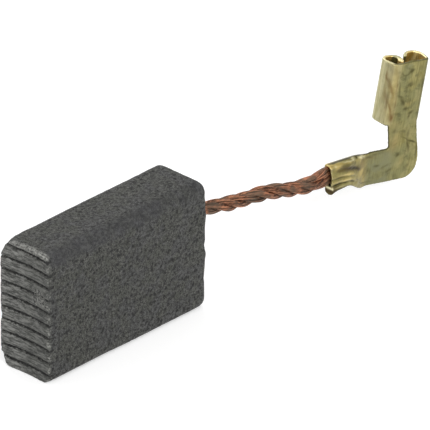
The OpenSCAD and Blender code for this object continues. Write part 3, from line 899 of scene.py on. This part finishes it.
def crimp_bottom(s):
    low = -2.0
    return low + (strip_edge(s, -STRIP_W) - low) * step(2.2, 5.4, s) - 0.14 * step(1.2, 0.0, s)


def crimp_grid(s, h):
    """Place across the crimped sheet: 0 at its top edge, 1 at its bottom edge, along the folds."""
    return (crimp_top(s) - h) / (crimp_top(s) - crimp_bottom(s)) - 0.035 * s


def sheet_face(s, h):
    """Near face of the sheet itself, from the crimp's back through the throat to the strip."""
    crease = strip_face(CREASE_S, h, 0)
    throat = BACK_T + (crease - BACK_T) * np.clip((s - CRIMP_L) / THROAT_L, 0, 1)
    return np.where(s < CREASE_S, throat, strip_face(s, h, 0))


def wing_face(s, h):
    """Outside of the folded wings, which run out into the throat."""
    u = crimp_grid(s, h)
    ridges = 0.09 * bell(u, 0.425, 0.045) + 0.10 * bell(u, 0.595, 0.05)
    seam = 0.05 * bell(u, 0.50, 0.03)
    grooves = 0.06 * bell(u, 0.21, 0.05) + 0.14 * bell(u, 0.70, 0.040)
    at = np.column_stack([s.ravel() * 0.7, s.ravel() * 0 + 3, h.ravel() * 1.5])
    uneven = (noise(at, 0.42, 3.0).reshape(s.shape) - 0.5) * 0.10
    near = step(4.2, 2.9, s)
    t = NEAR_T - 0.10 * bell(u, 0.06, 0.10) * step(3.6, 3.0, s)
    t = t - (ridges - seam) * near + grooves * near
    t = t - 0.05 * step(0.3, 0.0, s) + uneven
    runs_out = step(2.2 - 0.3 * step(0.5, 0.8, u), 5.7, s)
    t = t + (sheet_face(s, h) - t) * runs_out
    # wires' hollow, and the roll along the top as it ends
    t = t + 0.07 * bell(s, 3.3, 0.7) * bell(u, 0.27, 0.065)
    t = t - 0.16 * bell(s, 4.5, 0.50) * bell(u, -0.06, 0.08)
    return t + 0.08 * bell(s, 3.65, 0.25) * bell(u, 0.0, 0.12)


def build_crimp():
    """The crimp and the throat as one closed skin, open at the mouth."""
    v = np.concatenate([np.linspace(0, 1, NEAR_ROWS), np.linspace(1, 0, BACK_ROWS + 2)[1:-1]])
    is_near = np.arange(len(v)) < NEAR_ROWS

    def ring(s, top, bottom, edge_r, inside=False):
        """One loop of the skin at run s, on its outside or inside its mouth."""
        h = top + (bottom - top) * v
        run = np.full_like(h, s)
        near = np.full_like(h, NEAR_T + WING_T) if inside else wing_face(run, h)
        back = np.full_like(h, BACK_T) if inside else sheet_face(run, h) + SHEET
        t = np.where(is_near, near, back)
        d = np.clip(np.minimum(top - h, h - bottom) / edge_r, 0, 1)
        t = t + ((near + back) / 2 - t) * (1 - np.sqrt(1 - (1 - d) ** 2))
        reach = 0.06 + 0.26 * step(0.1, 1.0, h)
        lip = step(0.6, 0.0, s) * is_near * step(-1.6, -1.2, h) * reach
        return np.column_stack([s - lip, t, h])

    rings = [ring(s, crimp_top(s) - WING_T, -1.3, 0.22, True) for s in (1.4, 0.9, 0.45, 0.12)]
    for s in np.linspace(0, CREASE_S + SKIN_OVERLAP, SKIN_RUNS):
        edge_r = FOLD_R + (CUT_R - FOLD_R) * step(2.6, 5.4, s)
        rings.append(ring(s, crimp_top(s), crimp_bottom(s), edge_r))
    n = len(v)
    points = np.vstack(rings) @ CRIMP_TURN.T + MOUTH
    faces = [tuple(range(n))]
    for i in range(len(rings) - 1):
        a, b = i * n, (i + 1) * n
        faces += [(a + k, b + k, b + (k + 1) % n, a + (k + 1) % n) for k in range(n)]
    faces.append(tuple((len(rings) - 1) * n + k for k in range(n - 1, -1, -1)))
    return points, faces


def shape_flag(points):
    """Slight dents and a crease in the flat sheet, and the rolls as they are pressed."""
    local = (points - FLAG_O) @ FLAG_TURN
    a, b, c = local.T
    flat = step(-3.2, -1.6, a) * step(9.2, 6.0, c)
    wave = (noise(np.column_stack([a, a * 0, c]), 1.6, 2.0) - 0.5) * 0.10
    # the crease lies on the line through these two points of the flag
    (a0, c0), (a1, c1) = (0.46, 1.61), (2.98, 0.24)
    across = c - (c0 + (a - a0) * (c1 - c0) / (a1 - a0))
    crease = 0.05 * step(-0.12, 0.06, across) * step(1.6, 0.3, across) * step(0.1, 0.8, a)
    local[:, 1] = b + (wave + crease) * flat
    # the tight roll is pressed flat, so that its lip nearly meets the loose one
    high = step(2.3, 2.6, c)
    lip = np.clip((a - ROLL_A) / ROLL_R, 0, 1.3) * (b > 0.4) * (a < 0.4) * high
    local[:, 0] += 0.42 * lip
    local[:, 1] -= 0.40 * lip * step(ROLL_B + 0.2, ROLL_B - 0.4, b)
    loose = np.clip((1.9 - a) / 0.9, 0, 1.3) * (b > 0.9) * (a > 0.5) * high
    local[:, 0] -= 0.12 * loose
    # its lower end is cut at a slant
    local[:, 2] += 0.22 * step(-0.8, -1.7, a) * step(5.0, 2.8, c) * high
    return local @ FLAG_TURN.T + FLAG_O


def mark_shares(s, u, on_crimp, a, b, c):
    """How much of each kind of mark lies at each point."""
    shares = {}
    for name in CRIMP_MARKS:
        clear = np.ones(len(a))
        for run, grid, length, width, strength in CRIMP_MARKS[name]:
            clear *= 1 - strength * bell(s, run, length) * bell(u, grid, width) * on_crimp
        for along, height, length, width, angle, strength in FLAG_MARKS[name]:
            x, y = math.cos(math.radians(angle)), math.sin(math.radians(angle))
            da, dc = a - along, c - height
            mark = bell(da * x + dc * y, 0, length) * bell(dc * x - da * y, 0, width)
            clear *= 1 - strength * mark * (b < 0.9)
        shares[name] = 1 - clear
    return shares


def paint_terminal(mesh, points):
    """Stains, dirt, wear, painted shade and painted highlights, as shares that the mesh carries."""
    s, _, h = ((points - MOUTH) @ CRIMP_TURN).T
    a, b, c = ((points - FLAG_O) @ FLAG_TURN).T
    u = crimp_grid(s, h) + (noise(points, 0.35, 1.0) - 0.5) * 0.03
    s = s + (noise(points, 0.4, 2.0) - 0.5) * 0.25
    on_crimp = (c < 0.6) & (a < -1.0)
    a = a + (noise(points, 0.5, 3.0) - 0.5) * 0.16
    shares = mark_shares(s, u, on_crimp, a, b, c + (noise(points, 0.5, 4.0) - 0.5) * 0.25)

    def add(name, share):
        shares[name] = np.maximum(shares[name], share)

    # the detent's ring is darker along its lower half
    ring = bell(np.hypot(a - 0.45, c - DETENT_C), 0.60, 0.07)
    add("dirt_and_shade", 0.6 * ring * step(0.1, -0.3, c - DETENT_C) * (b < 0.4))
    # gold inside the receptacle as painted reflected light, darker further down
    left = np.hypot(a - ROLL_A, b - ROLL_B) < ROLL_R
    right = np.hypot(a - LOOSE_A, b - LOOSE_B) < LOOSE_R
    floor_side = (b > 0.22) & (b < LOOSE_B) & (a > -0.4) & (a < LOOSE_A + LOOSE_R)
    shares["inner"] = (left | right | floor_side) * step(5.0, 7.5, c)
    # hollows darker as dirt and painted shade, ridges brighter as wear and painted highlight
    normals = read_normals(mesh)
    away = points - relax(points, edges_of(mesh), 8)
    proud = np.sum(away * normals, axis=1)
    worked = on_crimp * step(6.0, 5.0, s)
    add("dirt_and_shade", step(0.004, 0.03, -proud) * 0.8 * worked)
    add("bright", step(0.006, 0.03, proud) * 0.35 * worked * (1 - shares["brown_and_shade"]))
    # dark lines along the sheet's cut edges, rims and the crimp's edges, as painted shade
    aside = np.linalg.norm(away - proud[:, None] * normals, axis=1)
    brim = step(0.006, 0.030, aside) * step(0.25, 0.12, b) * (1 - on_crimp * step(6.2, 5.8, s))
    across = np.abs(normals @ FLAG_TURN[:, 1])
    cut = step(0.85, 0.5, across) * step(2.9, 2.5, c) * step(4.6, 5.4, s)
    rims = step(0.5, 0.8, normals @ FLAG_TURN[:, 2]) * step(9.2, 9.4, c)
    low_rim = step(2.90, 2.80, c) * step(2.60, 2.70, c) * step(-0.5, -0.8, a)
    lines = np.maximum(step(0.06, 0.01, crimp_top(s) - h), step(0.12, 0.03, h - crimp_bottom(s)))
    lines = on_crimp * lines * step(6.4, 6.0, s)
    front = step(0.45, 0.3, b)
    for line in (cut * 0.8, low_rim * 0.7, lines * 0.75, rims * front * 0.55, brim * 0.6):
        add("dirt_and_shade", line)
    # the back rims painted bright, as painted highlight
    add("bright", rims * (1 - front) * 0.40)
    for name, share in shares.items():
        carry(mesh, name, np.clip(share, 0, 1))


def build_terminal():
    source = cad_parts["terminal"].data.copy()
    write_points(source, read_points(source) / MM)
    source.materials.clear()
    work = bmesh.new()
    work.from_mesh(source)
    bmesh.ops.remove_doubles(work, verts=work.verts, dist=1e-4)
    # the flag is kept from just past the crease, and the crimp is made afresh
    start = FLAG_O - FLAG_TURN[:, 0] * (STRIP_L - 0.1)
    cut = bmesh.ops.bisect_plane(
        work, geom=work.verts[:] + work.edges[:] + work.faces[:], plane_co=start,
        plane_no=FLAG_TURN[:, 0], clear_inner=True,
    )
    rim = [e for e in cut["geom_cut"] if isinstance(e, bmesh.types.BMEdge)]
    bmesh.ops.contextual_create(work, geom=rim)
    points, faces = build_crimp()
    verts = [work.verts.new(p) for p in points]
    for f in faces:
        work.faces.new([verts[k] for k in f])
    bmesh.ops.recalc_face_normals(work, faces=work.faces)
    work.to_mesh(source)
    work.free()
    piece = bpy.data.objects.new("terminal_body", source)
    scene.collection.objects.link(piece)
    again = piece.modifiers.new("even", "REMESH")
    again.mode = "VOXEL"
    again.voxel_size = VOXEL
    again.use_smooth_shade = True
    applied(piece)
    mesh = piece.data
    edges = edges_of(mesh)
    points = relax(shape_flag(relax(read_points(mesh), edges, 4)), edges, 2)
    write_points(mesh, points)
    paint_terminal(mesh, points)
    write_points(mesh, points * MM)
    set_smooth(mesh)
    mesh.materials.append(brass)
    return piece


terminal = build_terminal()
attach(terminal, "root")
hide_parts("terminal")

# --- Stage, light and camera --------------------------------------------------------------------

FLOOR_HALF = 2.0
FLOOR_DROP = 0.00004  # keeps the floor just under the block
FLOOR_LIFT = 0.35
WORLD_LIGHT = 0.6


def seen_directly(m):
    """1 for what the camera sees, itself or in gloss and glass, and 0 for light on the object."""
    path = m.node("ShaderNodeLightPath").outputs
    indirect = m.math("MAXIMUM", path["Is Glossy Ray"], path["Is Transmission Ray"])
    return m.math("MAXIMUM", path["Is Camera Ray"], indirect)


def pale_material(name, colour, lift):
    """A pale surface that the camera, gloss and glass see near white, and that keeps a shadow."""
    m = new_material(name)
    matt = m.node("ShaderNodeBsdfDiffuse", {"Color": (*colour, 1)}).outputs[0]
    strength = m.times(seen_directly(m), lift)
    glow = m.node("ShaderNodeEmission", {"Color": (1, 1, 1, 1), "Strength": strength}).outputs[0]
    return m.shade(m.node("ShaderNodeAddShader", {0: matt, 1: glow}).outputs[0])


floor_mesh = bpy.data.meshes.new("floor")
corners = [(x * FLOOR_HALF, y * FLOOR_HALF, 0) for x, y in ((-1, -1), (1, -1), (1, 1), (-1, 1))]
floor_mesh.from_pydata(corners, [], [(0, 1, 2, 3)])
floor_mesh.materials.append(pale_material("floor", (0.8, 0.8, 0.8), FLOOR_LIFT))
floor = bpy.data.objects.new("floor", floor_mesh)
floor.location.z = -FLOOR_DROP
scene.collection.objects.link(floor)

world = bpy.data.worlds.new("studio")
scene.world = world
studio = Nodes(world, "ShaderNodeOutputWorld")
level = {"Value": seen_directly(studio), "To Min": WORLD_LIGHT, "To Max": 1.0}
level = studio.node("ShaderNodeMapRange", level).outputs["Result"]
light = studio.node("ShaderNodeBackground", {"Color": (1, 1, 1, 1), "Strength": level})
studio.shade(light.outputs["Background"])


def area_light(name, place, size, power):
    """A round lamp that points at the middle of the object."""
    data = bpy.data.lights.new(name, "AREA")
    data.shape = "DISK"
    data.size = size
    data.energy = power
    lamp = bpy.data.objects.new(name, data)
    lamp.location = place
    lamp.rotation_euler = (Vector(MIDDLE) - Vector(place)).to_track_quat("-Z", "Y").to_euler()
    scene.collection.objects.link(lamp)


MIDDLE = (0.012, 0, 0.008)
area_light("key", (-0.12, -0.42, 0.36), 0.30, 1.5)
area_light("front", (-0.45, -0.10, 0.20), 0.25, 0.7)
area_light("rim", (0.20, 0.35, 0.40), 0.30, 0.7)

# The photograph's direction, from far enough away that parallel edges stay parallel
AZIMUTH, ELEVATION = math.radians(-46.343), math.radians(28.31)
LOOK_AT = Vector((15.505, 0, 7.02))
SIDEWAYS, UPWARDS, DISTANCE = -0.093, -0.037, 1834.9
BACK = Vector(
    (
        math.sin(AZIMUTH) * math.cos(ELEVATION),
        -math.cos(AZIMUTH) * math.cos(ELEVATION),
        math.sin(ELEVATION),
    )
)
RIGHT = Vector((0, 0, 1)).cross(BACK).normalized()
UP = BACK.cross(RIGHT)
camera_data = bpy.data.cameras.new("camera")
camera_data.lens = 1600
camera_data.sensor_width = 36
camera_data.clip_start = 0.01
camera_data.clip_end = 20
camera = bpy.data.objects.new("camera", camera_data)
place = LOOK_AT + RIGHT * SIDEWAYS + UP * UPWARDS + BACK * DISTANCE
turn = Matrix((RIGHT, UP, BACK)).transposed().to_4x4()
camera.matrix_world = Matrix.Translation(place * MM) @ turn
scene.collection.objects.link(camera)
scene.camera = camera
scene.view_settings.view_transform = "Standard"
